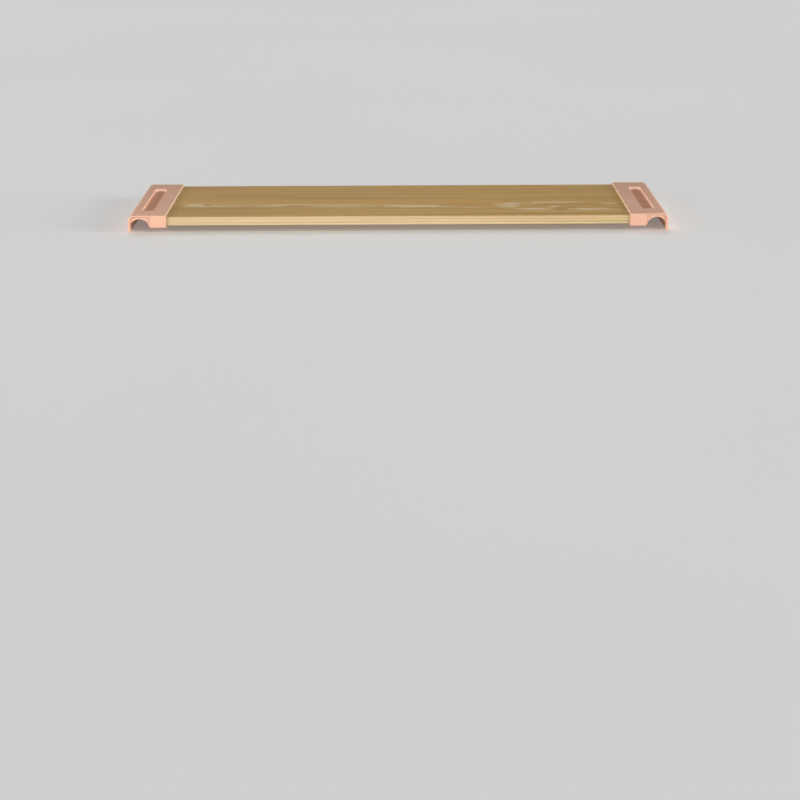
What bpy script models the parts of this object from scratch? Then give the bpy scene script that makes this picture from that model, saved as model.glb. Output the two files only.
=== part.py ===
"""An overbed table that spans a bed's two side rails.

A laminated board sits with each end in the socket of a moulded end cap, held by screws from below.
Outside its socket, each cap carries a channel that drops over a round side rail. The channel is a thin
skin and an outer lip, stiffened by ribs whose arched edges ride on the rail. A long shallow recess is
sunk in the cap's top. Both caps are the same moulding, one of them turned round.

+X runs from the left rail to the right one, +Y from the front edge to the rear one, and +Z is up. The
origin is under the middle of the board, level with the lower edges of the lips. All values are in metres.
"""

import math

import bmesh
import bpy
from mathutils import Matrix, Vector

# ---- driving dimensions -------------------------------------------------------------------------

RAIL_SPACING = 0.940  # between the axes of the two side rails
CHANNEL_RADIUS = 0.0175  # takes a rail of 32 mm with room to drop over it
TABLE_DEPTH = 0.300  # front to back, over the caps
BOARD_THICKNESS = 0.016
GAP = 0.0003  # left between pieces that touch

# ---- end cap, measured outwards (u) from its inner edge and down from its top --------------------

CAP_WIDTH = 0.069
SKIN = 0.003  # the top plate, the lip and the socket's walls
BLOCK_WIDTH = 0.0295  # the part of the cap that holds the board
SOCKET_DEPTH = 0.025
BLOCK_HEIGHT = 2 * SKIN + BOARD_THICKNESS + 2 * GAP
LIP_DROP = 0.032  # from the cap's top to the lip's lower edge
SHOULDER_RADIUS = 0.010  # where the top plate turns down into the lip
EDGE_CHAMFER = 0.0008

CHANNEL_U = CAP_WIDTH - SKIN - CHANNEL_RADIUS
CHANNEL_CROWN = 0.0068  # from the cap's top to the top of the channel
CHANNEL_DROP = CHANNEL_CROWN + CHANNEL_RADIUS

RIB_COUNT = 11  # between the two end webs
RIB_THICKNESS = 0.002
WEB_THICKNESS = 0.0025
WEB_SETBACK = 0.0025
RIB_ROOT = 0.001  # how far a rib runs into the walls that it joins
RIB_OUTER_ANGLE = 20  # degrees above level at which the ribs' arch meets the lip

RECESS_U = (0.026, 0.0505)
RECESS_LENGTH = 0.208
RECESS_SINK = 0.0042
RECESS_SLOPE = 0.0035  # how far the floor lies inside the rim
RECESS_RIM_RADIUS = 0.005
RECESS_FLOOR = 0.0021  # thickness below the recess

# ---- screws --------------------------------------------------------------------------------------

SCREW_ROW = (-0.120, -0.040, 0.040, 0.120)  # along Y
SCREW_U = 0.0125
SCREW_LENGTH = 0.0125
SHANK_RADIUS = 0.0019
HEAD_RADIUS = 0.0038
HEAD_HEIGHT = 0.0019
HEAD_SINK = 0.0002  # how far the head lies inside the flange's lower face
POINT_LENGTH = 0.003
DRIVE_REACH = 0.0021
DRIVE_WIDTH = 0.0009
DRIVE_DEPTH = 0.0013

# ---- board ---------------------------------------------------------------------------------------

LAMINATE = 0.0007
BAND = 0.0015

ARC_STEPS = 6  # for a quarter turn of a small radius
ARCH_STEPS = 12
ROUND_STEPS = 24
PILOT_STEPS = 16

# ---- places that follow --------------------------------------------------------------------------

INNER_EDGE_X = RAIL_SPACING / 2 - CHANNEL_U
BOARD_LENGTH = 2 * (INNER_EDGE_X + SOCKET_DEPTH - GAP)
BOARD_DEPTH = TABLE_DEPTH - 2 * SKIN - 2 * GAP
CORE_DEPTH = BOARD_DEPTH - 2 * (BAND + GAP)
TOP_Z = LIP_DROP
BOARD_TOP_Z = TOP_Z - SKIN - GAP
BOARD_BASE_Z = BOARD_TOP_Z - BOARD_THICKNESS
FLANGE_Z = TOP_Z - BLOCK_HEIGHT
SCREW_X = INNER_EDGE_X + SCREW_U


# ---- mesh helpers --------------------------------------------------------------------------------


def clear_scene():
    for old in list(bpy.data.objects):
        bpy.data.objects.remove(old, do_unlink=True)


def arc(centre, radius, start, end, steps):
    """Points from the start angle to the end angle, in degrees, both included."""
    turns = [math.radians(start + (end - start) * i / steps) for i in range(steps + 1)]
    return [(centre[0] + radius * math.cos(a), centre[1] + radius * math.sin(a)) for a in turns]


def mesh_of(name, bm):
    bmesh.ops.recalc_face_normals(bm, faces=bm.faces)
    mesh = bpy.data.meshes.new(name)
    bm.to_mesh(mesh)
    bm.free()
    return mesh


def loft(name, loops):
    """A closed mesh through loops that hold the same number of points, with flat ends."""
    bm = bmesh.new()
    rings = [[bm.verts.new(point) for point in loop] for loop in loops]
    count = len(rings[0])
    for low, high in zip(rings, rings[1:]):
        for i in range(count):
            j = (i + 1) % count
            bm.faces.new((low[i], low[j], high[j], high[i]))
    bm.faces.new(rings[0])
    bm.faces.new(rings[-1])
    return mesh_of(name, bm)


def prism(name, outline, front, back, chamfer=0.0):
    """An outline in X and Z, extruded along Y. The chamfer runs round both ends."""
    bm = bmesh.new()
    near = [bm.verts.new((x, front, z)) for x, z in outline]
    base = bm.faces.new(near)
    grown = bmesh.ops.extrude_face_region(bm, geom=[base])
    moved = [item for item in grown["geom"] if isinstance(item, bmesh.types.BMVert)]
    bmesh.ops.translate(bm, verts=moved, vec=(0, back - front, 0))
    bmesh.ops.recalc_face_normals(bm, faces=bm.faces)
    if chamfer:
        ends = [f for f in bm.faces if abs(f.normal.y) > 0.99]
        edges = {edge for face in ends for edge in face.edges}
        bmesh.ops.bevel(bm, geom=list(edges), offset=chamfer, segments=1, affect="EDGES")
    return mesh_of(name, bm)


def block(name, low, high, chamfer=0.0):
    outline = [(low[0], low[2]), (high[0], low[2]), (high[0], high[2]), (low[0], high[2])]
    return prism(name, outline, low[1], high[1], chamfer)


def turned(name, profile, steps=ROUND_STEPS):
    """A profile of (radius, z) points, turned about Z. It starts and ends on the axis."""
    bm = bmesh.new()
    ring_points = profile[1:-1]
    angles = [2 * math.pi * i / steps for i in range(steps)]
    rings = [[bm.verts.new((r * math.cos(a), r * math.sin(a), z)) for a in angles] for r, z in ring_points]
    for low, high in zip(rings, rings[1:]):
        for i in range(steps):
            j = (i + 1) % steps
            bm.faces.new((low[i], low[j], high[j], high[i]))
    for tip, ring in ((profile[0], rings[0]), (profile[-1], rings[-1])):
        end = bm.verts.new((0, 0, tip[1]))
        for i in range(steps):
            bm.faces.new((ring[i], ring[(i + 1) % steps], end))
    return mesh_of(name, bm)


def joined(name, meshes):
    """Separate meshes as one, for a cutter or an addition in several places."""
    bm = bmesh.new()
    for mesh in meshes:
        bm.from_mesh(mesh)
    return mesh_of(name, bm)


def moved(mesh, offset):
    copy = mesh.copy()
    copy.transform(Matrix.Translation(Vector(offset)))
    return copy


def with_booleans(base, steps):
    """The mesh that base becomes after each (operation, mesh) step."""
    helpers = []
    for mesh in [base] + [step[1] for step in steps]:
        helper = bpy.data.objects.new("helper", mesh)
        bpy.context.scene.collection.objects.link(helper)
        helpers.append(helper)
    for (operation, _), helper in zip(steps, helpers[1:]):
        modifier = helpers[0].modifiers.new(operation, "BOOLEAN")
        modifier.operation = operation
        modifier.object = helper
    graph = bpy.context.evaluated_depsgraph_get()
    result = bpy.data.meshes.new_from_object(helpers[0].evaluated_get(graph))
    for helper in helpers:
        bpy.data.objects.remove(helper, do_unlink=True)
    result.name = base.name + "_shape"
    return result


def material(name, colour, roughness, metallic=0.0):
    made = bpy.data.materials.new(name)
    made.use_nodes = True
    shader = made.node_tree.nodes["Principled BSDF"]
    shader.inputs["Base Color"].default_value = (*colour, 1.0)
    shader.inputs["Roughness"].default_value = roughness
    shader.inputs["Metallic"].default_value = metallic
    return made


def place(name, mesh, finish, location=(0, 0, 0), turn=0.0):
    """Adds one sub-part, turned about Z by an angle in radians."""
    mesh.materials.clear()
    mesh.materials.append(finish)
    mesh.shade_smooth()
    mesh.set_sharp_from_angle(angle=math.radians(30))
    made = bpy.data.objects.new(name, mesh)
    made.location = location
    made.rotation_euler = (0, 0, turn)
    bpy.context.scene.collection.objects.link(made)
    return made


# ---- the end cap ---------------------------------------------------------------------------------


def cap_point(u, drop):
    """From the cap's own measures to X and Z, with the cap on the +X side."""
    return (INNER_EDGE_X + u, TOP_Z - drop)


def cap_shell():
    """The block, the top plate and the lip as one extruded section."""
    shoulder = arc((CAP_WIDTH - SHOULDER_RADIUS, -SHOULDER_RADIUS), SHOULDER_RADIUS, 90, 0, ARC_STEPS)
    lip_inside = CAP_WIDTH - SKIN
    inner_radius = SHOULDER_RADIUS - SKIN
    inside = arc((lip_inside - inner_radius, -SHOULDER_RADIUS), inner_radius, 0, 90, ARC_STEPS)
    section = [(0, -EDGE_CHAMFER), (EDGE_CHAMFER, 0)]
    section += shoulder
    section += [(CAP_WIDTH, -LIP_DROP + EDGE_CHAMFER), (CAP_WIDTH - EDGE_CHAMFER, -LIP_DROP)]
    section += [(lip_inside + EDGE_CHAMFER, -LIP_DROP), (lip_inside, -LIP_DROP + EDGE_CHAMFER)]
    section += inside
    section += [(BLOCK_WIDTH, -SKIN)]
    section += [(BLOCK_WIDTH, -BLOCK_HEIGHT + EDGE_CHAMFER), (BLOCK_WIDTH - EDGE_CHAMFER, -BLOCK_HEIGHT)]
    section += [(EDGE_CHAMFER, -BLOCK_HEIGHT), (0, -BLOCK_HEIGHT + EDGE_CHAMFER)]
    outline = [cap_point(u, -w) for u, w in section]
    return prism("end_cap", outline, -TABLE_DEPTH / 2, TABLE_DEPTH / 2, EDGE_CHAMFER)


def rib_outline():
    """One rib: rooted in the block, the top plate and the lip, with its arch over the rail."""
    inner_end = BLOCK_HEIGHT - 0.001
    inner_angle = 180 - math.degrees(math.asin((CHANNEL_DROP - inner_end) / CHANNEL_RADIUS))
    arch = arc((CHANNEL_U, -CHANNEL_DROP), CHANNEL_RADIUS, RIB_OUTER_ANGLE, inner_angle, ARCH_STEPS)
    lip_root = CAP_WIDTH - SKIN + RIB_ROOT
    shoulder_drop = SKIN + RIB_ROOT + 0.001
    section = [(BLOCK_WIDTH - RIB_ROOT, -SKIN + RIB_ROOT)]
    section += [(lip_root - 0.005, -SKIN + RIB_ROOT), (lip_root, -shoulder_drop), (lip_root, arch[0][1])]
    section += arch
    section += [(BLOCK_WIDTH - RIB_ROOT, arch[-1][1])]
    return [cap_point(u, -w) for u, w in section]


def ribs():
    """The ribs along the channel, and the thicker web that closes it near each end."""
    outline = rib_outline()
    web_outer = TABLE_DEPTH / 2 - WEB_SETBACK
    pitch = 2 * (web_outer - WEB_THICKNESS / 2) / (RIB_COUNT + 1)
    pieces = [
        prism("web", outline, -web_outer, -web_outer + WEB_THICKNESS),
        prism("web", outline, web_outer - WEB_THICKNESS, web_outer),
    ]
    for i in range(RIB_COUNT):
        middle = (i - (RIB_COUNT - 1) / 2) * pitch
        pieces.append(prism("rib", outline, middle - RIB_THICKNESS / 2, middle + RIB_THICKNESS / 2))
    return joined("ribs", pieces)


def rounded_rectangle(half_x, half_y, radius, centre_x, z):
    corners = ((half_x, half_y, 0), (-half_x, half_y, 90), (-half_x, -half_y, 180), (half_x, -half_y, 270))
    points = []
    for x, y, start in corners:
        middle = (x - math.copysign(radius, x), y - math.copysign(radius, y))
        points += [(centre_x + px, py, z) for px, py in arc(middle, radius, start, start + 90, ARC_STEPS)]
    return points


def recess_cutter():
    """A long tray with sloping sides, carried on above the cap's top so that it cuts cleanly."""
    centre = INNER_EDGE_X + sum(RECESS_U) / 2
    half_x = (RECESS_U[1] - RECESS_U[0]) / 2
    half_y = RECESS_LENGTH / 2
    slope = RECESS_SLOPE / RECESS_SINK
    over = 0.001
    grow = over * slope
    loops = []
    for sink, inset in ((-over, -grow), (RECESS_SINK, RECESS_SLOPE)):
        radius = RECESS_RIM_RADIUS - inset
        loops.append(rounded_rectangle(half_x - inset, half_y - inset, radius, centre, TOP_Z - sink))
    return loft("recess", loops)


def recess_pan():
    """The extra thickness under the recess."""
    margin = 0.0005
    low = (INNER_EDGE_X + RECESS_U[0] - margin, -RECESS_LENGTH / 2 - SKIN, TOP_Z - RECESS_SINK - RECESS_FLOOR)
    high = (INNER_EDGE_X + RECESS_U[1] + margin, RECESS_LENGTH / 2 + SKIN, TOP_Z - SKIN + RIB_ROOT)
    return block("pan", low, high)


def socket_cutter():
    past = 0.005
    half = TABLE_DEPTH / 2 - SKIN
    low = (INNER_EDGE_X - past, -half, TOP_Z - BLOCK_HEIGHT + SKIN)
    high = (INNER_EDGE_X + SOCKET_DEPTH, half, TOP_Z - SKIN)
    return block("socket", low, high)


def screw_hole():
    """A countersunk hole through the flange, with its axis on Z and its mouth at z = 0."""
    head = HEAD_RADIUS + GAP
    shank = SHANK_RADIUS + GAP
    profile = [(0, -0.001), (head, -0.001), (head, HEAD_SINK), (shank, HEAD_SINK + HEAD_HEIGHT)]
    profile += [(shank, SKIN + 0.001), (0, SKIN + 0.001)]
    return turned("hole", profile)


def end_cap_mesh():
    hole = screw_hole()
    holes = [moved(hole, (SCREW_X, y, FLANGE_Z)) for y in SCREW_ROW]
    return with_booleans(
        cap_shell(),
        [
            ("UNION", recess_pan()),
            ("UNION", ribs()),
            ("DIFFERENCE", socket_cutter()),
            ("DIFFERENCE", recess_cutter()),
            ("DIFFERENCE", joined("holes", holes)),
        ],
    )


# ---- the board -----------------------------------------------------------------------------------


def pilot_holes(low, high):
    """Cylinders for the screws' shanks at all six places, from one height to another."""
    radius = SHANK_RADIUS + GAP
    pin = turned("pilot", [(0, low), (radius, low), (radius, high), (0, high)], PILOT_STEPS)
    places = [(side * SCREW_X, y, 0) for side in (-1, 1) for y in SCREW_ROW]
    return joined("pilots", [moved(pin, place_at) for place_at in places])


def board_core_mesh():
    sheet = LAMINATE + GAP
    low = (-BOARD_LENGTH / 2, -CORE_DEPTH / 2, BOARD_BASE_Z + sheet)
    high = (BOARD_LENGTH / 2, CORE_DEPTH / 2, BOARD_TOP_Z - sheet)
    tip = FLANGE_Z + HEAD_SINK + SCREW_LENGTH + 0.001
    return with_booleans(block("core", low, high), [("DIFFERENCE", pilot_holes(BOARD_BASE_Z - 0.001, tip))])


def laminate_mesh(name, base):
    low = (-BOARD_LENGTH / 2, -CORE_DEPTH / 2, base)
    high = (BOARD_LENGTH / 2, CORE_DEPTH / 2, base + LAMINATE)
    return block(name, low, high)


def bottom_laminate_mesh():
    holes = pilot_holes(BOARD_BASE_Z - 0.001, BOARD_BASE_Z + LAMINATE + 0.001)
    return with_booleans(laminate_mesh("sheet", BOARD_BASE_Z), [("DIFFERENCE", holes)])


def edge_band_mesh():
    """A strip along a long edge, with its middle on Y = 0."""
    low = (-BOARD_LENGTH / 2, -BAND / 2, BOARD_BASE_Z)
    high = (BOARD_LENGTH / 2, BAND / 2, BOARD_TOP_Z)
    return block("edge_band", low, high)


# ---- the screws ----------------------------------------------------------------------------------


def drive_cutter():
    """A cross that narrows as it goes in, below z = 0 to DRIVE_DEPTH."""
    loops = []
    for z, scale in ((-0.0005, 1.0), (DRIVE_DEPTH, 0.55)):
        reach = DRIVE_REACH * scale
        half = DRIVE_WIDTH / 2 * scale
        arm = [(reach, -half), (reach, half), (half, half)]
        loop = []
        for turn in range(4):
            c, s = round(math.cos(turn * math.pi / 2)), round(math.sin(turn * math.pi / 2))
            loop += [(c * x - s * y, s * x + c * y, z) for x, y in arm]
        loops.append(loop)
    return loft("drive", loops)


def screw_mesh():
    """A countersunk screw pointing up, with its head's face at z = 0."""
    profile = [(0, 0), (HEAD_RADIUS, 0), (HEAD_RADIUS, 0.0002), (SHANK_RADIUS, HEAD_HEIGHT)]
    profile += [(SHANK_RADIUS, SCREW_LENGTH - POINT_LENGTH), (0.0003, SCREW_LENGTH), (0, SCREW_LENGTH)]
    return with_booleans(turned("screw", profile), [("DIFFERENCE", drive_cutter())])


# ---- assembly ------------------------------------------------------------------------------------


def build():
    clear_scene()
    plastic = material("cap_plastic", (0.62, 0.36, 0.27), 0.42)
    wood = material("wood_laminate", (0.42, 0.28, 0.13), 0.45)
    band = material("edge_band", (0.50, 0.37, 0.19), 0.42)
    chipboard = material("chipboard", (0.45, 0.32, 0.19), 0.9)
    steel = material("screw_steel", (0.62, 0.62, 0.60), 0.35, 1.0)

    place("board_core", board_core_mesh(), chipboard)
    place("top_laminate", laminate_mesh("top_sheet", BOARD_TOP_Z - LAMINATE), wood)
    place("bottom_laminate", bottom_laminate_mesh(), wood)

    strip = edge_band_mesh()
    band_y = (BOARD_DEPTH - BAND) / 2
    place("front_edge_band", strip, band, (0, -band_y, 0))
    place("rear_edge_band", strip, band, (0, band_y, 0))

    cap = end_cap_mesh()
    place("right_end_cap", cap, plastic)
    place("left_end_cap", cap, plastic, turn=math.pi)

    screw = screw_mesh()
    for side, sign in (("left", -1), ("right", 1)):
        for number, y in enumerate(SCREW_ROW, 1):
            place(f"{side}_screw_{number}", screw, steel, (sign * SCREW_X, y, FLANGE_Z + HEAD_SINK))


build()
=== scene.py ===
"""The looks of the overbed table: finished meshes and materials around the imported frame.

The end caps, laminates, edge bands and screws are rebuilt here with rounded edges and moulded detail, each
in the place and at the size of the CAD node that it stands for. The core keeps its CAD shape. All lengths
are in metres, with +X from the left cap to the right one, +Y from front to rear and +Z up.
"""

import math

import bmesh
import bpy
from mathutils import Matrix, Vector


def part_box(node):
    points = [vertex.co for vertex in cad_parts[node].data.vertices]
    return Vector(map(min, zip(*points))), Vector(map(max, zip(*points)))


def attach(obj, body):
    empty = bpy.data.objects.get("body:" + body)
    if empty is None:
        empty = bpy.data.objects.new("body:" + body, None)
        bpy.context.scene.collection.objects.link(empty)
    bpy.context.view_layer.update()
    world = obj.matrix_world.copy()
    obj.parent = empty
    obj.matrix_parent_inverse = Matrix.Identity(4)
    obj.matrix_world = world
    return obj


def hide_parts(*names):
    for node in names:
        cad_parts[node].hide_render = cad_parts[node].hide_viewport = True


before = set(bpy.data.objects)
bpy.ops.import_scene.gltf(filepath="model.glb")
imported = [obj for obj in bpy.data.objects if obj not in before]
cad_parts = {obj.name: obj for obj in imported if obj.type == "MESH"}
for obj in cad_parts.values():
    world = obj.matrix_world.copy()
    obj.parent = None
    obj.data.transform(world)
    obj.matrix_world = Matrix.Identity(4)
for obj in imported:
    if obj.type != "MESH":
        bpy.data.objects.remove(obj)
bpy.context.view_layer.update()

# ---- end cap: u runs outwards from the cap's inner edge, w down from its top -----------------------

CAP_LOW, CAP_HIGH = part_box("right_end_cap")
INNER_X = CAP_LOW[0]
TOP_Z = CAP_HIGH[2]
CAP_WIDTH = CAP_HIGH[0] - CAP_LOW[0]
LIP_DROP = CAP_HIGH[2] - CAP_LOW[2]
HALF_DEPTH = CAP_HIGH[1]
SKIN = 0.003
BLOCK_WIDTH = 0.0295
BLOCK_HEIGHT = 0.0226
SOCKET_DEPTH = 0.025
SHOULDER_RADIUS = 0.010
END_RADIUS = 0.0012
CORNER_RADIUS = 0.0013
SOCKET_EASING = 0.0005

# The channel over the rail: an arch cut in eleven ribs and, at the ends, two webs.
CHANNEL_RADIUS = 0.0175
CHANNEL_U = CAP_WIDTH - SKIN - CHANNEL_RADIUS
CHANNEL_DROP = 0.0068 + CHANNEL_RADIUS
RIB_COUNT = 11
RIB_THICKNESS = 0.002
RIB_SHORTFALL = 0.001  # how far the ribs stop above the block's base
WEB_THICKNESS = 0.0025
WEB_SETBACK = 0.0025
RIB_ROOT = 0.0008  # how far the ribs reach into the walls that hold them
RIB_ROUNDING = 0.0003
RIB_BEVEL = (0.005, 0.002)  # where the ribs clear the shoulder's curve, across and down
RIB_OUTER_ANGLE = 20  # degrees above the channel's axis, on the lip's side
ARCH_STEPS = 40

# The recess in the cap's top.
RECESS_U = (0.026, 0.0505)
RECESS_X = INNER_X + sum(RECESS_U) / 2
RECESS_HALF_WIDTH = (RECESS_U[1] - RECESS_U[0]) / 2
RECESS_HALF_LENGTH = 0.104
RECESS_SINK = 0.0056
RECESS_CORNER = 0.0085
RECESS_FLOOR = 0.0011
RIM_ROLL = 0.0008
FOOT_HOLLOW = 0.0020
WALL_SLOPE = 75  # degrees below the level
WALL_STEPS = 8
END_RUN = 0.0055  # how much further the end slopes run than the side walls
PAN_MARGIN = 0.0005  # how far the thickened floor runs beyond the recess's long sides

# The prints of the mould's ejector pins.
EJECTOR_RADIUS = 0.003
EJECTOR_SINK = 0.00015
EJECTOR_DRAFT = 0.0001
EJECTOR_PLACES = (-0.08, 0.0, 0.08)

# ---- screws ----------------------------------------------------------------------------------------

SCREWS_A_SIDE = 4
HEAD_RADIUS = 0.0038
HEAD_HEIGHT = 0.0019
HEAD_SINK = 0.0002
HEAD_EASING = (0.00015, 0.00012)  # across and down
HEAD_EDGE = 0.0003  # how deep the head stays at its full width
SHANK_RADIUS = 0.0019
SCREW_LENGTH = 0.0125
SCREW_CLEARANCE = 0.0002
HOLE_EASING = 0.0003
THREAD_START = 0.0035
THREAD_PITCH = 0.0014
THREAD_DEPTH = 0.0004
POINT_LENGTH = 0.002
POINT_RADIUS = 0.0002
DRIVE_REACH = 0.0021
DRIVE_HALF_WIDTH = 0.00042
DRIVE_CORNER = 1.6  # where its arms meet, in half widths
DRIVE_DEPTH = 0.0013
HOLE_STEPS = 64
SCREW_STEPS = 48
SHEET_HOLE_STEPS = 32
TURN_STEP = 37  # degrees from one screw's cross to the next one's
LEFT_TURN = 19  # degrees more on the left-hand cap

# ---- board -----------------------------------------------------------------------------------------

BAND_RADIUS = 0.0012
BAND_INNER_RADIUS = 0.0001
BAND_OVERLAP = 0.0002  # how far the bands reach into the core
SHEET_EDGE = 0.00012

# ---- meshes ----------------------------------------------------------------------------------------

BENT = 0.01  # a face whose corners turn by more than this, in radians, is split
SHARP_ANGLE = 35  # degrees
OVERSHOOT = 0.001  # how far a cutter stands clear of the face that it cuts


# ---- mesh helpers ----------------------------------------------------------------------------------


def arc(centre, radius, start, end, steps):
    """Points from the start angle to the end angle, in degrees, both included."""
    turns = [math.radians(start + (end - start) * i / steps) for i in range(steps + 1)]
    return [(centre[0] + radius * math.cos(a), centre[1] + radius * math.sin(a)) for a in turns]


def rounded(corners, steps=8):
    """A closed outline through (x, z, radius) corners, each turned into an arc."""
    points = []
    count = len(corners)
    for i, (x, z, radius) in enumerate(corners):
        here = Vector((x, z))
        back = (Vector(corners[i - 1][:2]) - here).normalized()
        ahead = (Vector(corners[(i + 1) % count][:2]) - here).normalized()
        half = back.angle(ahead) / 2
        centre = here + (back + ahead).normalized() * radius / math.sin(half)
        first = here + back * radius / math.tan(half) - centre
        last = here + ahead * radius / math.tan(half) - centre
        for step in range(steps + 1):
            spoke = first.normalized().slerp(last.normalized(), step / steps) * radius
            points.append((centre + spoke)[:])
    return points


def inset(outline, distance):
    """The outline moved inwards by a distance smaller than its radii, point by point."""
    ahead = outline[1:] + outline[:1]
    area = sum(a[0] * b[1] - b[0] * a[1] for a, b in zip(outline, ahead))
    side = math.copysign(distance, area)
    moved = []
    for before, here, after in zip(outline[-1:] + outline[:-1], outline, ahead):
        along = (Vector(after) - Vector(before)).normalized()
        moved.append((here[0] - side * along.y, here[1] + side * along.x))
    return moved


def finished(name, bm):
    """The mesh, with faces turned outwards and every bent face split into flat ones."""
    bmesh.ops.recalc_face_normals(bm, faces=bm.faces)
    bmesh.ops.connect_verts_nonplanar(bm, angle_limit=BENT, faces=bm.faces)
    mesh = bpy.data.meshes.new(name)
    bm.to_mesh(mesh)
    bm.free()
    return mesh


def loft(name, loops):
    """A closed mesh through loops that hold the same number of points, with flat ends."""
    bm = bmesh.new()
    rings = [[bm.verts.new(point) for point in loop] for loop in loops]
    count = len(rings[0])
    for low, high in zip(rings, rings[1:]):
        for i in range(count):
            j = (i + 1) % count
            bm.faces.new((low[i], low[j], high[j], high[i]))
    bm.faces.new(rings[0])
    bm.faces.new(rings[-1])
    return finished(name, bm)


def round_ended(name, outline, front, back, radius, steps=4):
    """An outline in X and Z, extruded along Y, with both ends rounded over."""
    loops = []
    for step in range(steps + 1):
        turn = math.pi / 2 * step / steps
        y = front + radius * (1 - math.cos(turn))
        loops.append((y, radius * (1 - math.sin(turn))))
    loops += [(front + back - y, drop) for y, drop in reversed(loops)]
    return loft(name, [[(x, y, z) for x, z in inset(outline, drop)] for y, drop in loops])


def turned(name, profile, steps=HOLE_STEPS):
    """A profile of (radius, z) points, turned about Z. It starts and ends on the axis."""
    bm = bmesh.new()
    turns = [2 * math.pi * i / steps for i in range(steps)]
    rings = []
    for radius, z in profile[1:-1]:
        rings.append([bm.verts.new((radius * math.cos(a), radius * math.sin(a), z)) for a in turns])
    for low, high in zip(rings, rings[1:]):
        for i in range(steps):
            j = (i + 1) % steps
            bm.faces.new((low[i], low[j], high[j], high[i]))
    for tip, rim, ring in ((profile[0], profile[1], rings[0]), (profile[-1], profile[-2], rings[-1])):
        if tip[1] == rim[1]:
            bm.faces.new(ring)
            continue
        end = bm.verts.new((0, 0, tip[1]))
        for i in range(steps):
            bm.faces.new((ring[i], ring[(i + 1) % steps], end))
    return finished(name, bm)


def joined(name, meshes):
    """One mesh that holds several, side by side."""
    bm = bmesh.new()
    for mesh in meshes:
        bm.from_mesh(mesh)
    return finished(name, bm)


def shifted(mesh, offset):
    """A copy of the mesh, moved."""
    copy = mesh.copy()
    copy.transform(Matrix.Translation(Vector(offset)))
    return copy


def with_booleans(base, steps):
    """The mesh that base becomes after each (operation, mesh) step."""
    helpers = []
    for mesh in [base] + [step[1] for step in steps]:
        helper = bpy.data.objects.new("helper", mesh)
        bpy.context.scene.collection.objects.link(helper)
        helpers.append(helper)
    for (operation, _), helper in zip(steps, helpers[1:]):
        modifier = helpers[0].modifiers.new(operation, "BOOLEAN")
        modifier.operation = operation
        modifier.object = helper
    graph = bpy.context.evaluated_depsgraph_get()
    result = bpy.data.meshes.new_from_object(helpers[0].evaluated_get(graph))
    for helper in helpers:
        bpy.data.objects.remove(helper, do_unlink=True)
    return result


def piece(name, mesh, material, node, turn=0.0, location=(0, 0, 0)):
    """Adds one finished piece in the place of a CAD node."""
    mesh = mesh.copy()
    mesh.transform(Matrix.Translation(Vector(location)) @ Matrix.Rotation(turn, 4, "Z"))
    mesh.materials.clear()
    mesh.materials.append(material)
    mesh.shade_smooth()
    mesh.set_sharp_from_angle(angle=math.radians(SHARP_ANGLE))
    made = bpy.data.objects.new(name, mesh)
    bpy.context.scene.collection.objects.link(made)
    normals = made.modifiers.new("Weighted normals", "WEIGHTED_NORMAL")
    normals.keep_sharp = True
    normals.weight = 100
    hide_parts(node)
    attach(made, "root")


# ---- shader helpers --------------------------------------------------------------------------------


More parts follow.
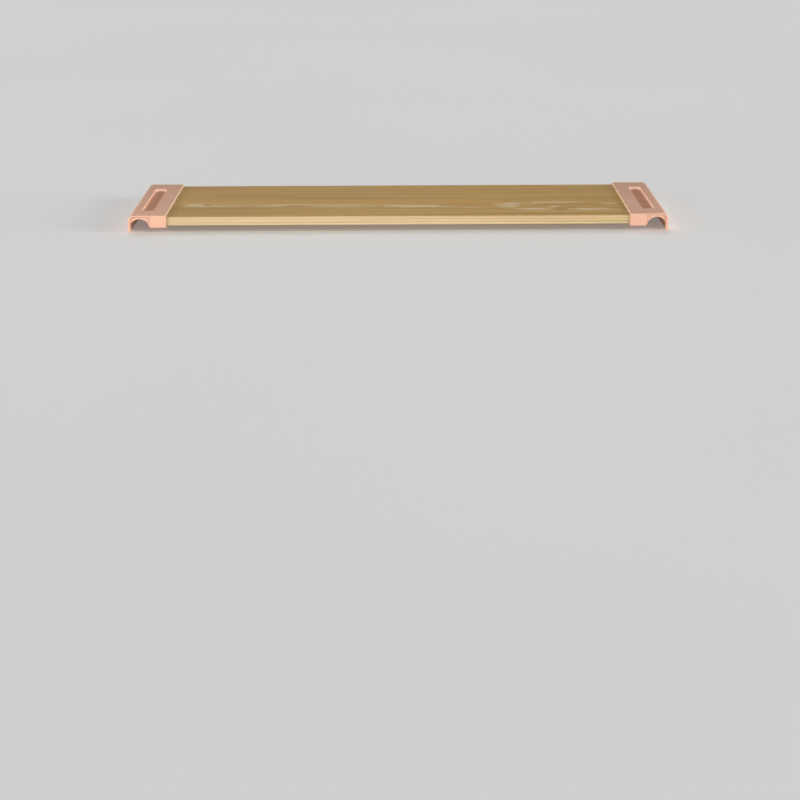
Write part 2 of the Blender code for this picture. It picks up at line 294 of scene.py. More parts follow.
class Shader:
    """One material's node tree, built by short calls that return output sockets."""

    def __init__(self, name):
        self.material = bpy.data.materials.new(name)
        self.material.use_nodes = True
        self.tree = self.material.node_tree
        self.surface = self.tree.nodes["Principled BSDF"]
        self.place = self.node("ShaderNodeTexCoord").outputs["Object"]

    def node(self, kind, **settings):
        """A new node with its settings."""
        made = self.tree.nodes.new(kind)
        for key, value in settings.items():
            setattr(made, key, value)
        return made

    def fill(self, made, index, value):
        """Links a socket to a node's input, or sets a constant there."""
        if isinstance(value, bpy.types.NodeSocket):
            self.tree.links.new(value, made.inputs[index])
        else:
            made.inputs[index].default_value = value

    def math(self, operation, *values):
        """One sum on sockets or constants."""
        made = self.node("ShaderNodeMath", operation=operation)
        for index, value in enumerate(values):
            self.fill(made, index, value)
        return made.outputs[0]

    def scaled(self, x, y, z):
        """The point on the object, with each of its coordinates multiplied."""
        made = self.node("ShaderNodeVectorMath", operation="MULTIPLY")
        self.fill(made, 0, self.place)
        made.inputs[1].default_value = (x, y, z)
        return made.outputs[0]

    def noise(self, vector, scale=1.0, detail=2.0, roughness=0.5, distortion=0.0):
        """Smooth noise around 0.5, read at a vector."""
        made = self.node("ShaderNodeTexNoise")
        self.fill(made, "Vector", vector)
        made.inputs["Scale"].default_value = scale
        made.inputs["Detail"].default_value = detail
        made.inputs["Roughness"].default_value = roughness
        made.inputs["Distortion"].default_value = distortion
        return made.outputs["Fac"]

    def span(self, value, low, high, to_low=0.0, to_high=1.0):
        """The value eased from to_low at low to to_high at high, and level beyond them."""
        made = self.node("ShaderNodeMapRange", interpolation_type="SMOOTHSTEP")
        for index, entry in enumerate((value, low, high, to_low, to_high)):
            self.fill(made, index, entry)
        return made.outputs[0]

    def ramp(self, value, stops):
        """A colour ramp through (position, colour) stops."""
        made = self.node("ShaderNodeValToRGB")
        elements = made.color_ramp.elements
        while len(elements) < len(stops):
            elements.new(0.5)
        for element, (position, colour) in zip(elements, stops):
            element.position = position
            element.color = (*colour, 1.0)
        self.fill(made, 0, value)
        return made.outputs["Color"]

    def mixed(self, factor, first, second):
        """The first colour at a factor of 0, the second one at 1."""
        made = self.node("ShaderNodeMix", data_type="RGBA")
        for index, value in ((0, factor), (6, first), (7, second)):
            if isinstance(value, tuple):
                value = (*value, 1.0)
            self.fill(made, index, value)
        return made.outputs[2]

    def split(self, vector=None):
        """The X, Y and Z of a vector or, with none, of the point on the object."""
        made = self.node("ShaderNodeSeparateXYZ")
        self.fill(made, 0, vector or self.place)
        return made.outputs

    def joined(self, x, y, z):
        """The vector that has these coordinates."""
        made = self.node("ShaderNodeCombineXYZ")
        for index, value in enumerate((x, y, z)):
            self.fill(made, index, value)
        return made.outputs[0]

    def bump(self, height, distance, strength, under=None):
        """A normal bent by a height, on top of another bump if there is one."""
        made = self.node("ShaderNodeBump")
        made.inputs["Strength"].default_value = strength
        made.inputs["Distance"].default_value = distance
        self.fill(made, "Height", height)
        if under:
            self.fill(made, "Normal", under)
        return made.outputs[0]

    def finish(self, colour, roughness, normal=None, **constants):
        """The material, once its surface has its colour, roughness, bumps and constants."""
        for name, value in (("Base Color", colour), ("Roughness", roughness)):
            self.fill(self.surface, name, (*value, 1.0) if isinstance(value, tuple) else value)
        if normal:
            self.fill(self.surface, "Normal", normal)
        for name, value in constants.items():
            self.surface.inputs[name.replace("_", " ")].default_value = value
        return self.material


# ---- materials -------------------------------------------------------------------------------------

ZONE_EDGE = 0.0010  # how far outside the recess its painted highlight and painted shade end
EDGE_LIGHT_DROPS = (0.0042, 0.0036)  # below the cap's top: where the painted edge highlight begins, and is whole
CAP_PINK = (0.655, 0.386, 0.276)
CAP_PINK_PALE = (0.680, 0.411, 0.299)
CAP_PINK_DEEP = (0.620, 0.358, 0.253)
# Painted highlight: the paler pink that the recess slopes get in place of the light that falls on them.
CAP_PINK_PAINTED_HIGHLIGHT = (0.840, 0.540, 0.410)
# Painted shade: the darker, redder pink of the recess floors, standing in for shade and for light bounced
# inside the recess.
CAP_PINK_PAINTED_SHADE = (0.680, 0.354, 0.226)
# Painted highlight: the pale, yellowish pink of the caps' inner edges, standing in for their lit rounding
# and the wood reflected in it.
CAP_PINK_PAINTED_EDGE_LIGHT = (0.730, 0.530, 0.355)


def recess_zones(s):
    """Two masks: the recesses' slopes, for a painted highlight that is strongest at their ends, and the
    recesses' floors, for painted shade.
    """
    x, y, z = s.split()
    normal = s.split(s.node("ShaderNodeNewGeometry").outputs["Normal"])
    off = s.math("ABSOLUTE", s.math("SUBTRACT", s.math("ABSOLUTE", x), RECESS_X))
    across = s.span(off, RECESS_HALF_WIDTH + ZONE_EDGE, RECESS_HALF_WIDTH + ZONE_EDGE / 2)
    far = s.math("ABSOLUTE", y)
    along = s.span(far, RECESS_HALF_LENGTH + ZONE_EDGE, RECESS_HALF_LENGTH + ZONE_EDGE / 2)
    high = s.span(z, TOP_Z - RECESS_SINK - RECESS_FLOOR / 2, TOP_Z - RECESS_SINK)
    steep = s.span(normal[2], 0.97, 0.75)
    low = s.span(z, TOP_Z - 0.5 * RIM_ROLL, TOP_Z - 1.5 * RIM_ROLL)
    inside = s.math("MULTIPLY", s.math("MULTIPLY", across, along), high)
    slopes = s.math("MULTIPLY", inside, steep)
    floors = s.math("MULTIPLY", s.math("SUBTRACT", inside, slopes), low)
    # The painted highlight is strongest on the end slopes, which face along the board.
    end_highlight = s.span(s.math("ABSOLUTE", normal[1]), 0.2, 0.6, 0.3, 1.0)
    return s.math("MULTIPLY", slopes, end_highlight), floors


def painted_edge_light(s):
    """A mask of the caps' edges over the board, for a painted highlight, pale and yellowish like the wood
    reflected there.
    """
    x, _, z = s.split()
    normal = s.split(s.node("ShaderNodeNewGeometry").outputs["Normal"])
    near = s.span(s.math("ABSOLUTE", x), INNER_X + CORNER_RADIUS, INNER_X + CORNER_RADIUS / 2)
    above = s.span(z, TOP_Z - EDGE_LIGHT_DROPS[0], TOP_Z - EDGE_LIGHT_DROPS[1])
    across = s.span(s.math("ABSOLUTE", normal[1]), 0.5, 0.3)
    return s.math("MULTIPLY", s.math("MULTIPLY", near, above), across)


def cap_plastic():
    """Pale pink moulded plastic: fine grit and soft flow marks, a painted highlight on the recess slopes
    and on the inner edges, and painted shade on the recess floors.
    """
    s = Shader("cap_plastic")
    cloud = s.noise(s.scaled(9, 5, 9), detail=3)
    colour = s.ramp(cloud, ((0.3, CAP_PINK_DEEP), (0.5, CAP_PINK), (0.7, CAP_PINK_PALE)))
    grit = s.noise(s.place, scale=2600, detail=2)
    colour = s.mixed(s.span(grit, 0.35, 0.65, 0.0, 0.10), colour, CAP_PINK_DEEP)
    slopes, floors = recess_zones(s)
    # Painted highlight on the recess slopes.
    colour = s.mixed(slopes, colour, CAP_PINK_PAINTED_HIGHLIGHT)
    # Painted shade on the recess floors, darker and redder.
    colour = s.mixed(floors, colour, CAP_PINK_PAINTED_SHADE)
    # Painted highlight along the caps' inner edges.
    colour = s.mixed(painted_edge_light(s), colour, CAP_PINK_PAINTED_EDGE_LIGHT)
    wear = s.noise(s.scaled(60, 14, 60), detail=4, roughness=0.6)
    rough = s.span(wear, 0.3, 0.75, 0.52, 0.42)
    fine = s.bump(grit, 0.00006, 0.55)
    soft = s.bump(s.noise(s.place, scale=35, detail=1), 0.0004, 0.12, fine)
    return s.finish(colour, rough, soft, IOR=1.47, Specular_IOR_Level=0.12)


WOOD_TAN = (0.500, 0.310, 0.098)
WOOD_DARK = (0.400, 0.235, 0.070)
WOOD_AMBER = (0.535, 0.312, 0.090)
WOOD_PALE = (0.665, 0.548, 0.342)
WOOD_PORE = (0.200, 0.110, 0.035)
GRAIN_SWAY = 0.040
FIGURE_WOBBLE = 0.022

KNOTS = (
    # x, y, half length, half width, push
    (0.214, -0.040, 0.048, 0.026, 0.034),
    (0.300, -0.066, 0.026, 0.016, -0.016),
    (-0.345, -0.036, 0.050, 0.020, 0.014),
    (-0.030, -0.052, 0.040, 0.014, 0.010),
)

PALE_MARKS = (
    # x, y, half length, half width, strength
    (-0.376, -0.041, 0.022, 0.015, 0.9),
    (-0.325, -0.046, 0.045, 0.008, 0.7),
    (-0.235, -0.046, 0.024, 0.010, 0.9),
    (-0.130, -0.040, 0.090, 0.006, 0.9),
    (-0.095, -0.057, 0.070, 0.006, 1.1),
    (0.022, -0.056, 0.048, 0.013, 1.5),
    (0.110, -0.070, 0.055, 0.007, 0.9),
    (0.205, -0.052, 0.024, 0.024, 0.9),
    (0.288, -0.029, 0.052, 0.010, 1.1),
    (0.256, -0.086, 0.030, 0.009, 1.3),
    (0.292, -0.066, 0.014, 0.007, 0.9),
    (0.398, -0.040, 0.018, 0.008, 0.7),
    (0.350, -0.088, 0.050, 0.008, 1.3),
)

DARK_MARKS = (
    # x, y, half length, half width, strength
    (-0.034, -0.056, 0.013, 0.008, 0.8),
    (-0.410, -0.046, 0.014, 0.009, 0.7),
    (0.180, -0.078, 0.015, 0.010, 0.9),
    (0.299, -0.088, 0.013, 0.015, 1.6),
    (0.290, -0.054, 0.070, 0.008, 0.5),
    (-0.357, -0.040, 0.011, 0.009, 0.9),
)


def grain(s):
    """X, Y and the field whose level lines are the grain: Y, swayed by slow waves and pushed by knots."""
    x, y, _ = s.split()
    wave = s.noise(s.scaled(2.0, 8, 0), detail=2)
    field = s.math("ADD", y, s.math("MULTIPLY", s.math("SUBTRACT", wave, 0.5), GRAIN_SWAY))
    for knot_x, knot_y, half_length, half_width, push in KNOTS:
        along = s.math("DIVIDE", s.math("SUBTRACT", x, knot_x), half_length)
        across = s.math("DIVIDE", s.math("SUBTRACT", y, knot_y), half_width)
        far = s.math("ADD", s.math("MULTIPLY", along, along), s.math("MULTIPLY", across, across))
        near = s.math("EXPONENT", s.math("MULTIPLY", far, -1.0))
        field = s.math("ADD", field, s.math("MULTIPLY", near, push))
    return x, y, field


def lines(s, x, field, along, across, seed, detail=2.0, distortion=0.0):
    """Noise drawn out along the grain: so many waves a metre along it and across it."""
    spot = s.joined(s.math("MULTIPLY", x, along), s.math("MULTIPLY", field, across), seed)
    return s.noise(spot, detail=detail, distortion=distortion)


def marks(s, x, y, table):
    """How strongly soft oval marks, drawn out along the board, cover each point."""
    total = 0.0
    for mark_x, mark_y, half_length, half_width, strength in table:
        along = s.math("DIVIDE", s.math("SUBTRACT", x, mark_x), half_length)
        across = s.math("DIVIDE", s.math("SUBTRACT", y, mark_y), half_width)
        far = s.math("ADD", s.math("MULTIPLY", along, along), s.math("MULTIPLY", across, across))
        near = s.math("MULTIPLY", s.math("EXPONENT", s.math("MULTIPLY", far, -1.0)), strength)
        total = s.math("ADD", near, total)
    return total


def figure(s, x, y, field):
    """The pale wavering figure along the front third and the dark eyes within it."""
    wobble = s.math("SUBTRACT", s.noise(s.scaled(14, 22, 0), detail=3), 0.5)
    bent = s.math("ADD", y, s.math("MULTIPLY", wobble, FIGURE_WOBBLE))
    strands = s.span(lines(s, x, field, 8, 170, 11.0, 2, 0.4), 0.41, 0.57, 0.12, 1.0)
    pale = s.span(s.math("MULTIPLY", marks(s, x, bent, PALE_MARKS), strands), 0.10, 0.65)
    dark = s.span(marks(s, x, bent, DARK_MARKS), 0.15, 0.80)
    return pale, dark


def wood_laminate(with_figure=True):
    """A printed wood-grain laminate: long tan grain, fine pores and, on the top, the pale figure."""
    s = Shader("wood_laminate" if with_figure else "wood_laminate_under")
    x, y, field = grain(s)
    tones = ((0.30, WOOD_DARK), (0.46, WOOD_TAN), (0.66, WOOD_AMBER))
    colour = s.ramp(lines(s, x, field, 0.9, 20, 0.0), tones)
    rings = lines(s, x, field, 1.6, 75, 3.0, 3)
    colour = s.mixed(s.span(rings, 0.50, 0.68, 0.0, 0.60), colour, WOOD_DARK)
    colour = s.mixed(s.span(rings, 0.46, 0.32, 0.0, 0.20), colour, WOOD_PALE)
    if with_figure:
        pale, dark = figure(s, x, y, field)
        colour = s.mixed(pale, colour, WOOD_PALE)
        colour = s.mixed(s.math("MULTIPLY", dark, 0.8), colour, WOOD_DARK)
    fibre = lines(s, x, field, 16, 1300, 7.0, 3)
    colour = s.mixed(s.span(fibre, 0.42, 0.68, 0.0, 0.40), colour, WOOD_DARK)
    pore = s.span(lines(s, x, field, 80, 2400, 5.0, 1), 0.62, 0.70)
    colour = s.mixed(s.math("MULTIPLY", pore, 0.45), colour, WOOD_PORE)
    relief = s.math("SUBTRACT", s.math("MULTIPLY", fibre, 0.6), pore)
    rough = s.span(s.noise(s.scaled(18, 30, 18), detail=4), 0.35, 0.7, 0.56, 0.48)
    return s.finish(colour, rough, s.bump(relief, 0.00006, 0.5), IOR=1.5, Specular_IOR_Level=0.2)


BAND_TAN = (0.470, 0.352, 0.183)
BAND_PALE = (0.565, 0.448, 0.258)
BAND_DARK = (0.360, 0.250, 0.112)
BAND_ROSY = (0.560, 0.395, 0.235)
BAND_SWAY = 0.004  # of the fine stripes
BAND_DRIFT = 0.0024  # of the lines in the tables below
BAND_DARK_LINES = (
    # x, height, half length, half width, strength
    (0, 0.0284, 5, 0.0004, 0.7),
    (0, 0.0236, 5, 0.0006, 0.7),
    (0, 0.0180, 5, 0.0007, 0.8),
    (0, 0.0131, 5, 0.0005, 0.7),
)
BAND_ROSY_LINES = ((0, 0.0262, 5, 0.0018, 0.8),)
BAND_PALE_LINES = (
    (0, 0.0208, 5, 0.0011, 0.6),
    (0, 0.0156, 5, 0.0014, 0.9),
)


def edge_band_print():
    """The edge bands: pale stripes along the board, with a few wavering lines that run its length."""
    s = Shader("edge_band")
    x, _, z = s.split()
    sway = s.math("MULTIPLY", s.noise(s.scaled(3, 0, 0), detail=1), BAND_SWAY)
    height = s.math("ADD", z, sway)
    stripes = s.noise(s.joined(s.math("MULTIPLY", x, 1.6), 0.0, s.math("MULTIPLY", height, 230)), detail=2)
    fine = s.noise(s.joined(s.math("MULTIPLY", x, 14), 0.0, s.math("MULTIPLY", height, 1700)), detail=3)
    colour = s.ramp(stripes, ((0.32, BAND_DARK), (0.47, BAND_TAN), (0.60, BAND_PALE)))
    drift = s.math("SUBTRACT", s.noise(s.scaled(5, 0, 0), detail=2), 0.5)
    line = s.math("ADD", z, s.math("MULTIPLY", drift, BAND_DRIFT))
    runs = ((BAND_ROSY_LINES, BAND_ROSY), (BAND_PALE_LINES, BAND_PALE), (BAND_DARK_LINES, BAND_DARK))
    for table, tone in runs:
        colour = s.mixed(marks(s, x, line, table), colour, tone)
    colour = s.mixed(s.span(fine, 0.42, 0.7, 0.0, 0.25), colour, BAND_DARK)
    normal = s.bump(fine, 0.00004, 0.4)
    rough = s.span(s.noise(s.scaled(20, 20, 20), detail=3), 0.35, 0.7, 0.5, 0.42)
    return s.finish(colour, rough, normal, IOR=1.5, Specular_IOR_Level=0.35)


CHIP_DARK = (0.30, 0.19, 0.10)
CHIP_TAN = (0.45, 0.31, 0.18)
CHIP_PALE = (0.60, 0.45, 0.28)


def chipboard():
    """The board's core: small flat chips, each with a tone of its own."""
    s = Shader("chipboard")
    chips = s.node("ShaderNodeTexVoronoi")
    chips.inputs["Scale"].default_value = 420
    s.fill(chips, "Vector", s.scaled(0.6, 0.8, 1.6))
    tone = s.split(chips.outputs["Color"])[0]
    colour = s.ramp(tone, ((0.1, CHIP_DARK), (0.5, CHIP_TAN), (0.9, CHIP_PALE)))
    return s.finish(colour, 0.9, s.bump(chips.outputs["Distance"], 0.0004, 0.6))


STEEL_DULL = (0.52, 0.52, 0.50)
STEEL_BRIGHT = (0.70, 0.70, 0.67)


def screw_steel():
    """Bright plated steel with cloudy patches and fine scratches."""
    s = Shader("screw_steel")
    cloud = s.noise(s.place, scale=400, detail=4)
    colour = s.ramp(cloud, ((0.3, STEEL_DULL), (0.7, STEEL_BRIGHT)))
    rough = s.span(cloud, 0.3, 0.7, 0.28, 0.42)
    scratches = s.noise(s.scaled(9000, 1200, 1200), detail=2)
    return s.finish(colour, rough, s.bump(scratches, 0.00003, 0.4), Metallic=1.0)


FLOOR_GREY = (0.90, 0.90, 0.90)
FLOOR_PALE = (0.93, 0.93, 0.93)
FLOOR_GLOW = 0.16


def floor_paint():
    """A plain pale floor that glows faintly, to make up for the near lights, which pass it by."""
    s = Shader("floor")
    cloud = s.noise(s.scaled(0.7, 0.7, 0.7), detail=2)
    colour = s.ramp(cloud, ((0.3, FLOOR_GREY), (0.7, FLOOR_PALE)))
    glow = {"Emission_Color": (1, 1, 1, 1), "Emission_Strength": FLOOR_GLOW}
    return s.finish(colour, 0.8, Specular_IOR_Level=0.2, **glow)


# ---- the end cap -----------------------------------------------------------------------------------


def at(u, w):
    """From the cap's own measures to X and Z, on the right-hand cap."""
    return (INNER_X + u, TOP_Z - w)


def cap_shell():
    """The block, the top plate and the lip as one section, rounded at every edge."""
    inside = CAP_WIDTH - SKIN
    corners = (
        (0, 0, CORNER_RADIUS),
        (CAP_WIDTH, 0, SHOULDER_RADIUS),
        (CAP_WIDTH, LIP_DROP, CORNER_RADIUS),
        (inside, LIP_DROP, CORNER_RADIUS),
        (inside, SKIN, SHOULDER_RADIUS - SKIN),
        (BLOCK_WIDTH, SKIN, CORNER_RADIUS),
        (BLOCK_WIDTH, BLOCK_HEIGHT, CORNER_RADIUS),
        (0, BLOCK_HEIGHT, CORNER_RADIUS),
    )
    outline = rounded([(*at(u, w), radius) for u, w, radius in corners])
    return round_ended("cap_shell", outline, -HALF_DEPTH, HALF_DEPTH, END_RADIUS)


def rib_outline():
    """A rib's section: it fills the space under the top plate down to the arch over the rail."""
    inner_end = BLOCK_HEIGHT - RIB_SHORTFALL
    inner_angle = 180 - math.degrees(math.asin((CHANNEL_DROP - inner_end) / CHANNEL_RADIUS))
    arch = arc((CHANNEL_U, -CHANNEL_DROP), CHANNEL_RADIUS, RIB_OUTER_ANGLE, inner_angle, ARCH_STEPS)
    lip_root = CAP_WIDTH - SKIN + RIB_ROOT
    top = -SKIN + RIB_ROOT
    across, down = RIB_BEVEL
    section = [(BLOCK_WIDTH - RIB_ROOT, top), (lip_root - across, top), (lip_root, top - down)]
    section += [(lip_root, arch[0][1])] + arch + [(BLOCK_WIDTH - RIB_ROOT, arch[-1][1])]
    return [at(u, -rise) for u, rise in section]


def ribs():
    """A web near each end of the cap, and the ribs spaced evenly between them."""
    outline = rib_outline()
    web_outer = HALF_DEPTH - WEB_SETBACK
    pitch = 2 * (web_outer - WEB_THICKNESS / 2) / (RIB_COUNT + 1)
    spans = [(-web_outer, -web_outer + WEB_THICKNESS), (web_outer - WEB_THICKNESS, web_outer)]
    for i in range(RIB_COUNT):
        middle = (i - (RIB_COUNT - 1) / 2) * pitch
        spans.append((middle - RIB_THICKNESS / 2, middle + RIB_THICKNESS / 2))
    return joined("ribs", [round_ended("rib", outline, a, b, RIB_ROUNDING, 2) for a, b in spans])


def rounded_rectangle(half_x, half_y, radius, centre_x, z, steps=10):
    """A level loop of points, with an arc at each corner."""
    points = []
    for sx, sy, start in ((1, 1, 0), (-1, 1, 90), (-1, -1, 180), (1, -1, 270)):
        middle = (sx * (half_x - radius), sy * (half_y - radius))
        points += [(centre_x + x, y, z) for x, y in arc(middle, radius, start, start + 90, steps)]
    return points


def recess_profile():
    """(run, sink) down the recess's wall: a rolled rim, a steep slope and a hollow foot."""
    bend = math.radians(WALL_SLOPE)
    points = []
    for step in range(WALL_STEPS + 1):
        turn = bend * step / WALL_STEPS
        points.append((RIM_ROLL * math.sin(turn), RIM_ROLL * (1 - math.cos(turn))))
    for step in range(WALL_STEPS + 1):
        rest = bend * (1 - step / WALL_STEPS)
        points.append((-FOOT_HOLLOW * math.sin(rest), RECESS_SINK - FOOT_HOLLOW * (1 - math.cos(rest))))
    drop = points[WALL_STEPS + 1][1] - points[WALL_STEPS][1]
    floor = points[WALL_STEPS][0] - points[WALL_STEPS + 1][0] + drop / math.tan(bend)
    return points[:WALL_STEPS + 1] + [(floor + run, sink) for run, sink in points[WALL_STEPS + 1:]]


def recess_cutter():
    """A long tray with a rolled rim and hollow walls, which lean further at both ends."""
    loops = []
    for run, sink in [(0.0, -2 * OVERSHOOT)] + recess_profile():
        depth = min(max(sink / RECESS_SINK, 0), 1)
        half_x = RECESS_HALF_WIDTH - run
        half_y = RECESS_HALF_LENGTH - (run + END_RUN * depth)
        loops.append(rounded_rectangle(half_x, half_y, RECESS_CORNER - run, RECESS_X, TOP_Z - sink))
    return loft("recess", loops)


def recess_pan():
    """The extra thickness under the recess."""
    low_u = RECESS_U[0] - PAN_MARGIN
    high_u = RECESS_U[1] + PAN_MARGIN
    top = SKIN - RIB_ROOT
    base = RECESS_SINK + RECESS_FLOOR
    corners = (
        # u, w, radius
        (low_u, base, 0.0006),
        (low_u, top, 0.0003),
        (high_u, top, 0.0003),
        (high_u, base, 0.0015),
    )
    outline = rounded([(*at(u, w), radius) for u, w, radius in corners], 5)
    reach = RECESS_HALF_LENGTH + SKIN
    return round_ended("pan", outline, -reach, reach, 0.0002, 2)


def socket_cutter():
    """The board's socket, with its mouth's edges eased."""
    eased = SOCKET_EASING
    loops = []
    for x, grow in ((-4 * OVERSHOOT, 2 * eased), (0.0, eased), (eased, 0.0), (SOCKET_DEPTH, 0.0)):
        half = HALF_DEPTH - SKIN + grow
        top = TOP_Z - SKIN + grow
        base = TOP_Z - BLOCK_HEIGHT + SKIN - grow
        ring = ((-half, base), (half, base), (half, top), (-half, top))
        loops.append([(INNER_X + x, y, z) for y, z in ring])
    return loft("socket", loops)


def screw_hole():
    """A countersunk hole up through the flange, eased at its mouth."""
    head = HEAD_RADIUS + SCREW_CLEARANCE
    mouth = head + HOLE_EASING
    shank = SHANK_RADIUS + SCREW_CLEARANCE
    profile = [(0, -OVERSHOOT), (mouth, -OVERSHOOT), (mouth, 0), (head, HEAD_SINK), (head, 2 * HEAD_SINK)]
    profile += [(shank, HEAD_SINK + HEAD_HEIGHT), (shank, SKIN + OVERSHOOT), (0, SKIN + OVERSHOOT)]
    return turned("hole", profile)


def ejector_mark():
    """The faint round print that an ejector pin leaves."""
    profile = [(0, -OVERSHOOT), (EJECTOR_RADIUS, -OVERSHOOT), (EJECTOR_RADIUS, 0)]
    profile += [(EJECTOR_RADIUS - EJECTOR_DRAFT, EJECTOR_SINK), (0, EJECTOR_SINK)]
    return turned("ejector", profile)


def screw_places(side):
    """The centre of each screw's head face."""
    places = []
    for number in range(1, SCREWS_A_SIDE + 1):
        low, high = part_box(f"{side}_screw_{number}")
        places.append(((low[0] + high[0]) / 2, (low[1] + high[1]) / 2, low[2]))
    return places


def end_cap_mesh():
    """The right-hand cap: one moulding with its socket, recess, ribs, screw holes and pin prints."""
    flange = TOP_Z - BLOCK_HEIGHT
    places = screw_places("right")
    holes = [shifted(screw_hole(), (x, y, flange)) for x, y, _ in places]
    prints = [shifted(ejector_mark(), (places[0][0], y, flange)) for y in EJECTOR_PLACES]
    return with_booleans(
        cap_shell(),
        [
            ("UNION", recess_pan()),
            ("UNION", ribs()),
            ("DIFFERENCE", socket_cutter()),
            ("DIFFERENCE", recess_cutter()),
            ("DIFFERENCE", joined("holes", holes + prints)),
        ],
    )


def make_caps():
    """Both caps from one moulding: the left one is turned half round."""
    mesh = end_cap_mesh()
    plastic = cap_plastic()
    piece("right_cap_moulding", mesh, plastic, "right_end_cap")
    piece("left_cap_moulding", mesh, plastic, "left_end_cap", turn=math.pi)


# ---- the board -------------------------------------------------------------------------------------


def sheet_mesh(name, node):
    """A thin sheet with eased edges, in the place of a CAD laminate."""
    low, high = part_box(node)
    corners = ((low[0], low[2]), (high[0], low[2]), (high[0], high[2]), (low[0], high[2]))
    outline = rounded([(x, z, SHEET_EDGE) for x, z in corners], 3)
    return round_ended(name, outline, low[1], high[1], SHEET_EDGE / 2, 3)


def band_mesh(name, node, outward):
    """An edge band, rounded over along its outer edges; outward is -1 at the front and 1 at the rear."""
    low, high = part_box(node)
    outer, inner = (low[1], high[1] + BAND_OVERLAP) if outward < 0 else (high[1], low[1] - BAND_OVERLAP)
    corners = (
        (outer, low[2], BAND_RADIUS),
        (outer, high[2], BAND_RADIUS),
        (inner, high[2], BAND_INNER_RADIUS),
        (inner, low[2], BAND_INNER_RADIUS),
    )
    outline = rounded(corners, 6)
    return loft(name, [[(x, y, z) for y, z in outline] for x in (low[0], high[0])])


def pierced_sheet():
    """The bottom laminate, with a hole for each screw's shank."""
    radius = SHANK_RADIUS + SCREW_CLEARANCE
    reach = 2 * OVERSHOOT
    profile = [(0, -reach), (radius, -reach), (radius, reach), (0, reach)]
    hole = turned("hole", profile, SHEET_HOLE_STEPS)
    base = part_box("bottom_laminate")[0][2]
    places = screw_places("left") + screw_places("right")
    holes = joined("holes", [shifted(hole, (x, y, base)) for x, y, _ in places])
    return with_booleans(sheet_mesh("board_under", "bottom_laminate"), [("DIFFERENCE", holes)])


def make_board():
    """Both laminates and both edge bands, and a material for the core, which keeps its CAD shape."""
    wood = wood_laminate()
    under = wood_laminate(with_figure=False)
    band = edge_band_print()
    piece("board_top", sheet_mesh("board_top", "top_laminate"), wood, "top_laminate")
    piece("board_under", pierced_sheet(), under, "bottom_laminate")
    for name, node, outward in (("front_band", "front_edge_band", -1), ("rear_band", "rear_edge_band", 1)):
        piece(name, band_mesh(name, node, outward), band, node)
    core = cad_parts["board_core"]
    core.data.materials.clear()
    core.data.materials.append(chipboard())


# ---- the screws ------------------------------------------------------------------------------------


def drive_cutter():
    """A cross recess that narrows as it goes in."""
    loops = []
    for z, scale in ((-OVERSHOOT / 2, 1.05), (0.0, 1.0), (DRIVE_DEPTH, 0.5)):
        reach = DRIVE_REACH * scale
        half = DRIVE_HALF_WIDTH * scale
        arm = [(reach, -half), (reach, half), (half * DRIVE_CORNER, half * DRIVE_CORNER)]
        loop = []
        for c, s in ((1, 0), (0, 1), (-1, 0), (0, -1)):
            loop += [(c * x - s * y, s * x + c * y, z) for x, y in arm]
        loops.append(loop)
    return loft("drive", loops)


def screw_mesh():
    """A countersunk screw with ringed grooves for its thread. Its head's face is at the origin."""
    across, down = HEAD_EASING
    root = SHANK_RADIUS - THREAD_DEPTH
    profile = [(0, 0), (HEAD_RADIUS - across, 0), (HEAD_RADIUS, down), (HEAD_RADIUS, HEAD_EDGE)]
    profile += [(SHANK_RADIUS, HEAD_HEIGHT), (SHANK_RADIUS, THREAD_START)]
    z = THREAD_START
    while z + THREAD_PITCH < SCREW_LENGTH - POINT_LENGTH:
        profile += [(root, z + THREAD_PITCH * 0.25), (root, z + THREAD_PITCH * 0.6)]
        z += THREAD_PITCH
        profile.append((SHANK_RADIUS, z))
    profile += [(root, z + 0.0003), (POINT_RADIUS, SCREW_LENGTH), (0, SCREW_LENGTH)]
    return with_booleans(turned("screw", profile, SCREW_STEPS), [("DIFFERENCE", drive_cutter())])


def make_screws():
    """One screw in each place, each driven home to an angle of its own."""
    mesh = screw_mesh()
    steel = screw_steel()
    for side in ("left", "right"):
        for number, place in enumerate(screw_places(side), 1):
            turn = math.radians(TURN_STEP * number + (LEFT_TURN if side == "left" else 0))
            name = f"{side}_cap_screw_{number}"
            piece(name, mesh, steel, f"{side}_screw_{number}", turn, place)


# ---- floor, light and camera -----------------------------------------------------------------------

CAMERA_PLACE = (0.002, -3.36, 0.7025)
CAMERA_PITCH = 17.678  # degrees below the level
CAMERA_ROLL = -0.27  # degrees
CAMERA_LENS = 81
WARM = (1.0, 0.985, 0.955)
WORLD_FRONT = (0.75, 0.75, 0.75)
WORLD_BACK = (0.50, 0.50, 0.51)
WORLD_LOW = (1.0, 1.0, 1.0)
WORLD_HIGH = (0.20, 0.20, 0.20)
WORLD_STRENGTH = 0.52
FLOOR_REACH = 30

FAR_LIGHTS = (
    # name, direction it comes from, power, angle across
    ("side_left", (-3.2, -0.9, 0.6), 0.4, 26),
    ("side_right", (3.2, -0.9, 0.6), 1.6, 26),
    ("key", (1.2, -2.2, 2.4), 0.5, 34),
    ("back_fill", (-0.6, 2.4, 2.8), 0.6, 36),
)
NEAR_LIGHTS = (
    # name, place, aim, size, power, spread
    ("front", (-0.2, -3.2, 0.9), (0, 0, 0.02), (2.0, 0.6), 1.5, 60),
    ("cross_left", (-2.3, -1.3, 0.55), (0.45, 0, 0.02), (0.9, 0.4), 3.4, 36),
    ("cross_right", (2.3, -1.3, 0.55), (-0.45, 0, 0.02), (0.9, 0.4), 2.0, 36),
)


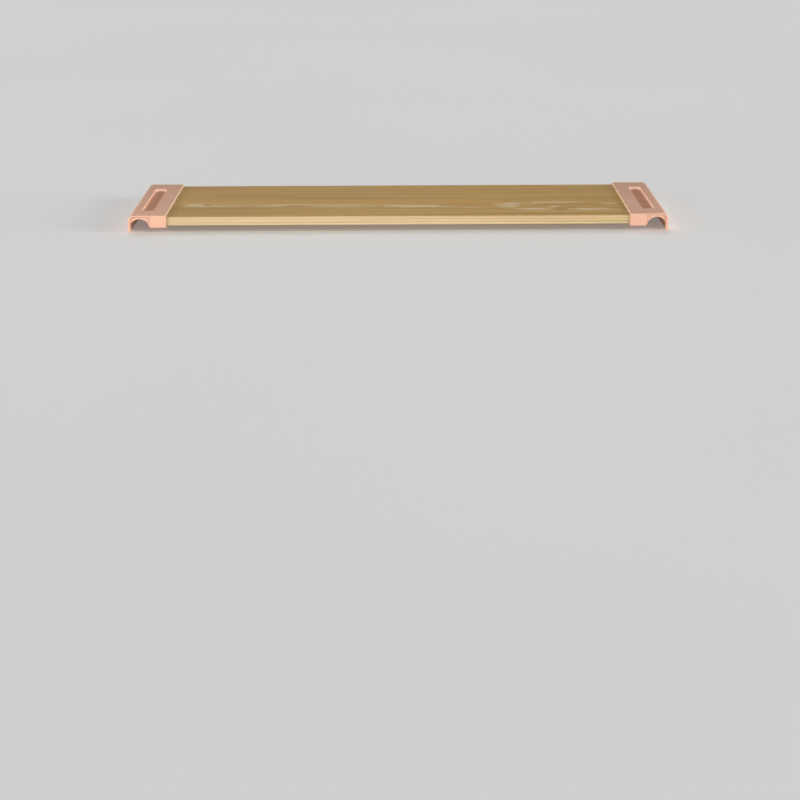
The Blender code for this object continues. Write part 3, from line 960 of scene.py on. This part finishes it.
def make_floor():
    """A level floor at Z = 0 that runs far beyond the view."""
    bm = bmesh.new()
    bmesh.ops.create_grid(bm, x_segments=8, y_segments=8, size=FLOOR_REACH)
    mesh = finished("floor", bm)
    mesh.materials.append(floor_paint())
    floor = bpy.data.objects.new("floor", mesh)
    bpy.context.scene.collection.objects.link(floor)
    return floor


def lamp(kind, name, place, aim, power):
    """A light at a place, turned towards its aim."""
    data = bpy.data.lights.new(name, kind)
    data.energy = power
    data.color = WARM
    made = bpy.data.objects.new(name, data)
    made.location = place
    made.rotation_euler = (Vector(aim) - Vector(place)).to_track_quat("-Z", "Y").to_euler()
    bpy.context.scene.collection.objects.link(made)
    return made


def make_lights(floor):
    """Wide far lights on everything, and narrow near ones that are kept off the floor."""
    unlit = bpy.data.collections.new("unlit by near lights")
    unlit.objects.link(floor)
    unlit.collection_objects[0].light_linking.link_state = "EXCLUDE"
    for name, place, power, angle in FAR_LIGHTS:
        lamp("SUN", name, place, (0, 0, 0), power).data.angle = math.radians(angle)
    for name, place, aim, size, power, spread in NEAR_LIGHTS:
        made = lamp("AREA", name, place, aim, power)
        made.data.shape = "RECTANGLE"
        made.data.size, made.data.size_y = size
        made.data.spread = math.radians(spread)
        made.light_linking.receiver_collection = unlit


def make_world():
    """Grey surroundings that are brightest low down and in front of the table."""
    world = bpy.data.worlds.new("studio")
    world.use_nodes = True
    tree = world.node_tree
    background = tree.nodes["Background"]
    split = tree.nodes.new("ShaderNodeSeparateXYZ")
    blend = tree.nodes.new("ShaderNodeMix")
    blend.data_type = "RGBA"
    blend.blend_type = "MULTIPLY"
    blend.inputs[0].default_value = 1.0
    tree.links.new(tree.nodes.new("ShaderNodeTexCoord").outputs["Generated"], split.inputs[0])
    fades = (("Y", 6, -1.0, WORLD_FRONT, WORLD_BACK), ("Z", 7, 0.0, WORLD_LOW, WORLD_HIGH))
    for axis, slot, low, first, last in fades:
        fade = tree.nodes.new("ShaderNodeMapRange")
        ramp = tree.nodes.new("ShaderNodeValToRGB")
        fade.inputs["From Min"].default_value = low
        tree.links.new(split.outputs[axis], fade.inputs["Value"])
        tree.links.new(fade.outputs[0], ramp.inputs[0])
        tree.links.new(ramp.outputs["Color"], blend.inputs[slot])
        ramp.color_ramp.elements[0].color = (*first, 1)
        ramp.color_ramp.elements[1].color = (*last, 1)
    tree.links.new(blend.outputs[2], background.inputs["Color"])
    background.inputs["Strength"].default_value = WORLD_STRENGTH
    bpy.context.scene.world = world


def make_camera():
    """The camera in front of the table, pitched down and rolled slightly."""
    data = bpy.data.cameras.new("camera")
    data.lens = CAMERA_LENS
    data.sensor_width = 36
    data.clip_end = 100
    camera = bpy.data.objects.new("camera", data)
    camera.location = CAMERA_PLACE
    tilt = Matrix.Rotation(math.radians(90 - CAMERA_PITCH), 4, "X")
    roll = Matrix.Rotation(math.radians(CAMERA_ROLL), 4, "Z")
    camera.rotation_euler = (tilt @ roll).to_euler()
    bpy.context.scene.collection.objects.link(camera)
    bpy.context.scene.camera = camera


def make_stage():
    """Everything around the object, and plain colour management."""
    make_lights(make_floor())
    make_world()
    make_camera()
    view = bpy.context.scene.view_settings
    view.view_transform = "Standard"
    view.look = "None"
    view.exposure = 0.0
    view.gamma = 1.0


make_caps()
make_board()
make_screws()
make_stage()
